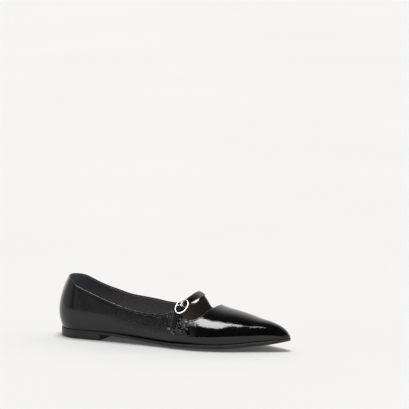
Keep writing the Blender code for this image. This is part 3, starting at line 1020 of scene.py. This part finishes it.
def strap_rise(share):
    """Height of the strap's middle over the last."""
    close = GAP + STRAP_THICK / 2
    part = min(1.0, share / ROOT_SHARE)
    eased = part * part * (3 - 2 * part)
    reach = (strap_point(share, 0) - strap_point(BUCKLE_AT, 0)).length
    hump = BUCKLE_RISE + BAR / 2
    return close * eased - WALL / 2 * (1 - eased) + hump * exp(-((reach / HUMP_REACH) ** 2))


# %% [markdown]
# Real strap leather is folded over a thin backing, so its faces are flat and its edges round. The
# section is an oval drawn flatter than a circle, and a few rows at each end close it.

# %% Strap's band
STRAP_ROWS = 150
STRAP_ROUND = 24
# How flat the section's faces are, how plump its sides are and how much its corners are cut
FLATTER = 1.12
PLUMPER = 0.55
SIDE_CUT = 0.10
# Size of the section in the rows that close each end
END_ROWS = (0.0, 0.55, 0.88)
ALL_ROWS = STRAP_ROWS + 2 * len(END_ROWS)


def strap_place(row, col):
    """Point of the strap's section: a flat oval, its ends drawn together."""
    share = min(STRAP_ROWS, max(0, row - len(END_ROWS))) / STRAP_ROWS
    turn = 2 * pi * col / STRAP_ROUND
    across = max(-1.0, min(1.0, FLATTER * cos(turn)))
    rise = STRAP_THICK / 2 * (abs(sin(turn)) ** PLUMPER) * (1 if sin(turn) >= 0 else -1)
    end = min(row, ALL_ROWS - row)
    shrink = END_ROWS[end] if end < len(END_ROWS) else 1.0
    _, _, out = strap_frame(share)
    edge = 1 - SIDE_CUT * (1 - abs(sin(turn)) ** 0.5)
    point = strap_point(share, across * edge)
    point += out * (strap_rise(share) + rise * shrink)
    middle = strap_point(share, 0) + out * strap_rise(share)
    return middle.lerp(point, shrink) if shrink < 1 else point


def strap_notes(row, col, point):
    """The inside of the strap is backing leather, and a groove runs along each of its edges."""
    turn = 2 * pi * col / STRAP_ROUND
    groove = -exp(-(((abs(cos(turn)) - 0.74) / 0.05) ** 2))
    return {
        "inside": 1.0 if sin(turn) < -0.25 else 0.0,
        "groove": groove if sin(turn) > 0 else 0.0,
        "fine": 0.2,
    }


# %% [markdown]
# The strap has the upper's leather outside and its dull backing inside. A groove runs along each
# edge, where the real one is stitched.

# %% Strap's look and piece
STRAP_ROUGH = 0.20
BACKING_ROUGH = 0.60
STRAP_LOOK, tree, shader = new_material("strap_look", STRAP_ROUGH)
backing = mottled(tree, (900, 3, 0.0), (0.020, 0.016, 0.014), (0.050, 0.040, 0.034), 0.35)
tone = blend(tree, note(tree, "inside"), patent_tone(tree), backing)
tree.links.new(tone, shader.inputs["Base Color"])
rougher = maths(tree, "MULTIPLY", note(tree, "inside"), BACKING_ROUGH - STRAP_ROUGH)
tree.links.new(maths(tree, "ADD", rougher, STRAP_ROUGH), shader.inputs["Roughness"])
height = stacked(
    tree,
    (
        (noise(tree, 90, 1, 0.4), 1.0),
        (note(tree, "groove"), 0.6),
        (crinkle(tree, 260, note(tree, "fine")), 0.3),
    ),
)
bump(tree, shader, height, 0.3 * MM)

bm = grid_of(ALL_ROWS + 1, STRAP_ROUND + 1, strap_place, strap_notes)
face_out(bm)
leave_piece(bm, "strap_band", STRAP_LOOK, ("strap",))


# %% [markdown]
# The buckle is bent from round wire: an oval ring, a bar across its middle and a prong that turns
# on the bar. A curve with a round bevel is the natural way to model wire. The small ring set in
# the strap's hole is an eyelet.


# %% Wire
def make_wire(name, points, diameter, closed, node):
    """A round wire through these points."""
    curve = bpy.data.curves.new(name, "CURVE")
    curve.dimensions = "3D"
    curve.bevel_depth = diameter / 2
    curve.bevel_resolution = 6
    curve.use_fill_caps = not closed
    spline = curve.splines.new("POLY")
    spline.points.add(len(points) - 1)
    for point, place in zip(spline.points, points):
        point.co = (*(place - Vector((AXIS_X, 0, 0))), 1)
    spline.use_cyclic_u = closed
    spline.use_smooth = True
    curve.materials.append(METAL)
    piece = bpy.data.objects.new(name, curve)
    bpy.context.scene.collection.objects.link(piece)
    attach(piece, "root")
    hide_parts(node)
    steps = zip(points, points[1:])
    print(name, "wire in mm:", round(sum((b - a).length for a, b in steps) / MM, 1))


# %% [markdown]
# The buckle lies on the strap and is turned a little on it, as in the photograph. Its places are
# given forward along the strap, sideways and out from the last.

# %% Buckle's place
BUCKLE_TURN = 7
here, along, out = strap_frame(BUCKLE_AT)
along = Matrix.Rotation(radians(BUCKLE_TURN), 3, out) @ along
across = out.cross(along)


def buckle_place(forward, sideways, rise):
    return here + along * forward + across * sideways + out * rise


def soften_path(points, count):
    """Points along a smooth curve through these rows of (forward, rise)."""
    steps = [k / (len(points) - 1) for k in range(len(points))]
    forward, rise = column(points, 0), column(points, 1)
    return [
        (smooth(k / count, steps, forward), smooth(k / count, steps, rise))
        for k in range(count + 1)
    ]


# %% [markdown]
# The prong starts on the bar, rises over the strap and comes down on the far side of the ring, so
# its path is a short table worked out from the heights of those three.

# %% Ring, bar, prong and eyelet
BUCKLE_LONG = 19.4 * MM
BUCKLE_WIDE = 13.4 * MM
WIRE = 1.5 * MM
PRONG = 0.9 * MM
HOLE = 2.0 * MM
EYELET = 0.6 * MM
long_half = (BUCKLE_LONG - WIRE) / 2
wide_half = (BUCKLE_WIDE - WIRE) / 2
turns = [2 * pi * k / 96 for k in range(96)]
oval = [buckle_place(long_half * cos(t), wide_half * sin(t), BUCKLE_RISE) for t in turns]
make_wire("buckle_ring", oval, WIRE, True, "buckle_frame")

bar_half = wide_half - WIRE / 2 - GAP
bar = [buckle_place(0, bar_half * k, BUCKLE_RISE) for k in (-1, 0, 1)]
make_wire("buckle_crossbar", bar, BAR, False, "buckle_bar")

bar_top = BUCKLE_RISE + BAR / 2
strap_top = strap_rise(BUCKLE_AT) + STRAP_THICK / 2
over = strap_top + PRONG
frame_top = BUCKLE_RISE + WIRE / 2 + PRONG / 2 + GAP / 2
PRONG_PATH = (
    (0.00, bar_top + GAP),
    (0.00, over - 0.5 * PRONG),
    (0.03, over),
    (0.10, over + 0.4 * PRONG),
    (0.22, over + 0.4 * PRONG),
    (0.55, (over + frame_top) / 2 + 0.4 * PRONG),
    (1.00, frame_top),
    (1.07, frame_top - 0.2 * PRONG),
)
prong = [buckle_place(-long_half * a, 0, rise) for a, rise in soften_path(PRONG_PATH, 40)]
make_wire("buckle_tongue", prong, PRONG, False, "buckle_prong")

ring = (HOLE + EYELET) / 2
eyelet = [
    buckle_place(ring * cos(t), ring * sin(t), strap_top + GAP / 2 + EYELET / 2)
    for t in turns[::2]
]
make_wire("eyelet_ring", eyelet, EYELET, True, "eyelet")

# %% [markdown]
# The photograph has a plain pale ground and soft light. The patent leather mirrors its
# surroundings, so they matter more than the light that falls on it: the pale floor gives the grey
# band along the foot of the upper, a long softbox overhead gives the bright streak on its
# shoulder, and the dark room in front gives the black between them.

# %% Floor
FLOOR_HALF = 14
bm = bmesh.new()
bmesh.ops.create_grid(bm, x_segments=1, y_segments=1, size=FLOOR_HALF)
mesh = bpy.data.meshes.new("floor")
bm.to_mesh(mesh)
bm.free()
floor = bpy.data.objects.new("floor", mesh)
bpy.context.scene.collection.objects.link(floor)
floor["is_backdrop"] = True
GROUND, tree, shader = new_material("floor_look", 0.9)
tone = mottled(tree, (3, 2, 0.0), grey(0.775), grey(0.785))
tree.links.new(tone, shader.inputs["Base Color"])
shader.inputs["Specular IOR Level"].default_value = 0.1
shader.inputs["Emission Color"].default_value = (0.06, 0.06, 0.06, 1)
shader.inputs["Emission Strength"].default_value = 1.0
mesh.materials.append(GROUND)

# %% [markdown]
# The camera stands where the photographer's stood: round the outer side of the toe and a little
# above, far off, with a long lens. It aims at the middle of the shoe, and its shift puts that
# point where the photograph has it.

# %% Camera at the photograph's angle
TURN = radians(25.7)
UP = radians(10.2)
AWAY = 3.63
TARGET = Vector((132.5 * MM, 0, 20 * MM)) - Vector((AXIS_X, 0, 0))
FRAME_WIDTH = 409
SCALE = 1.047 * MM
TARGET_PIXEL = (175.0, 322.9)
back = Vector((sin(TURN) * cos(UP), -cos(TURN) * cos(UP), sin(UP)))
camera_data = bpy.data.cameras.new("camera")
camera = bpy.data.objects.new("camera", camera_data)
bpy.context.scene.collection.objects.link(camera)
bpy.context.scene.camera = camera
camera.location = TARGET + back * AWAY
camera.rotation_mode = "QUATERNION"
camera.rotation_quaternion = (-back).to_track_quat("-Z", "Y")
camera_data.lens = camera_data.sensor_width * AWAY / (FRAME_WIDTH * SCALE)
camera_data.shift_x = (FRAME_WIDTH / 2 - TARGET_PIXEL[0]) / FRAME_WIDTH
camera_data.shift_y = (TARGET_PIXEL[1] - FRAME_WIDTH / 2) / FRAME_WIDTH
camera_data.clip_end = 100
print("lens:", round(camera_data.lens, 1))

# %% [markdown]
# The floor has its own soft light from above, because the varnish would mirror it as a glare. The
# long softbox lights the outside alone, and a weak one keeps the lining from sinking into black.


# %% Lights
def linked_light(data, name, place, turn):
    light = bpy.data.objects.new(name, data)
    light.location = place
    light.rotation_euler = turn
    bpy.context.scene.collection.objects.link(light)
    return light


def softbox(name, place, aim, size, power):
    """A rectangular light aimed at a point."""
    data = bpy.data.lights.new(name, "AREA")
    data.shape = "RECTANGLE"
    data.size, data.size_y = size
    data.energy = power
    turn = (Vector(aim) - Vector(place)).to_track_quat("-Z", "Y").to_euler()
    return linked_light(data, name, place, turn)


def shine_on(light, name, lit):
    """Lets this light shine only on these objects, as flags do in a studio."""
    group = bpy.data.collections.new(name)
    for piece in lit:
        group.objects.link(piece)
    light.light_linking.receiver_collection = group


sky = bpy.data.lights.new("overhead", "SUN")
sky.energy = 2.50
sky.angle = radians(32)
overhead = linked_light(sky, "overhead", (0, 0, 3), (radians(-5), radians(-2), 0))
shine_on(overhead, "ground", [floor])
streak = softbox("streak", (-0.05, -0.62, 1.86), (0.05, 0, 0.03), (1.06, 0.90), 43)
linings = [lining, insole]
shine_on(streak, "shoe", [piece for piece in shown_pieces() if piece not in linings])
inside = softbox("inside", (0.10, -0.25, 1.5), (0.06, 0, 0.03), (1.0, 1.0), 32)
shine_on(inside, "linings", linings)
print("lights:", overhead.name, streak.name, inside.name)


# %% [markdown]
# The room round the shoe is a few soft patches of warm grey, given by direction: a pale wall
# behind it, cards to its left and right, and near darkness on the camera's side. The card on the
# left is darker in its middle, as its mirror image on the heel's side is.


# %% Room
def eased(tree, value, start, end):
    """0 to 1 between these values of the direction's coordinate."""
    node = tree.nodes.new("ShaderNodeMapRange")
    node.interpolation_type = "SMOOTHSTEP"
    node.inputs["From Min"].default_value = start
    node.inputs["From Max"].default_value = end
    tree.links.new(value, node.inputs["Value"])
    return node.outputs["Result"]


# Brightness of each patch and of the rest, and how much darker the left card's middle is
WALL_BEHIND = 1.0
LEFT_CARD = 0.58
RIGHT_CARD = 0.55
DARKNESS = 0.008
LEFT_DIP = 0.55
world = bpy.context.scene.world or bpy.data.worlds.new("world")
bpy.context.scene.world = world
world.use_nodes = True
tree = world.node_tree
where = tree.nodes.new("ShaderNodeTexCoord")
split = tree.nodes.new("ShaderNodeSeparateXYZ")
tree.links.new(where.outputs["Generated"], split.inputs["Vector"])
to_x, to_y, to_z = split.outputs
behind = maths(tree, "MULTIPLY", eased(tree, to_y, 0.0, 0.62), eased(tree, to_z, 1.0, 0.50))
dip = maths(tree, "SUBTRACT", eased(tree, to_x, -0.48, -0.60), eased(tree, to_x, -0.66, -0.90))
dip = maths(tree, "MULTIPLY", dip, LEFT_DIP)
side = maths(tree, "SUBTRACT", eased(tree, to_x, -0.31, -0.49), dip)
left = maths(tree, "MULTIPLY", side, eased(tree, to_z, 0.85, 0.45))
right = maths(tree, "MULTIPLY", eased(tree, to_x, 0.72, 0.92), eased(tree, to_z, 0.60, 0.30))
patches = stacked(tree, ((behind, WALL_BEHIND), (left, LEFT_CARD), (right, RIGHT_CARD)))
backdrop = tree.nodes["Background"]
backdrop.inputs["Color"].default_value = (1.0, 0.975, 0.94, 1)
tree.links.new(maths(tree, "ADD", patches, DARKNESS), backdrop.inputs["Strength"])
bpy.context.scene.view_settings.view_transform = "Standard"
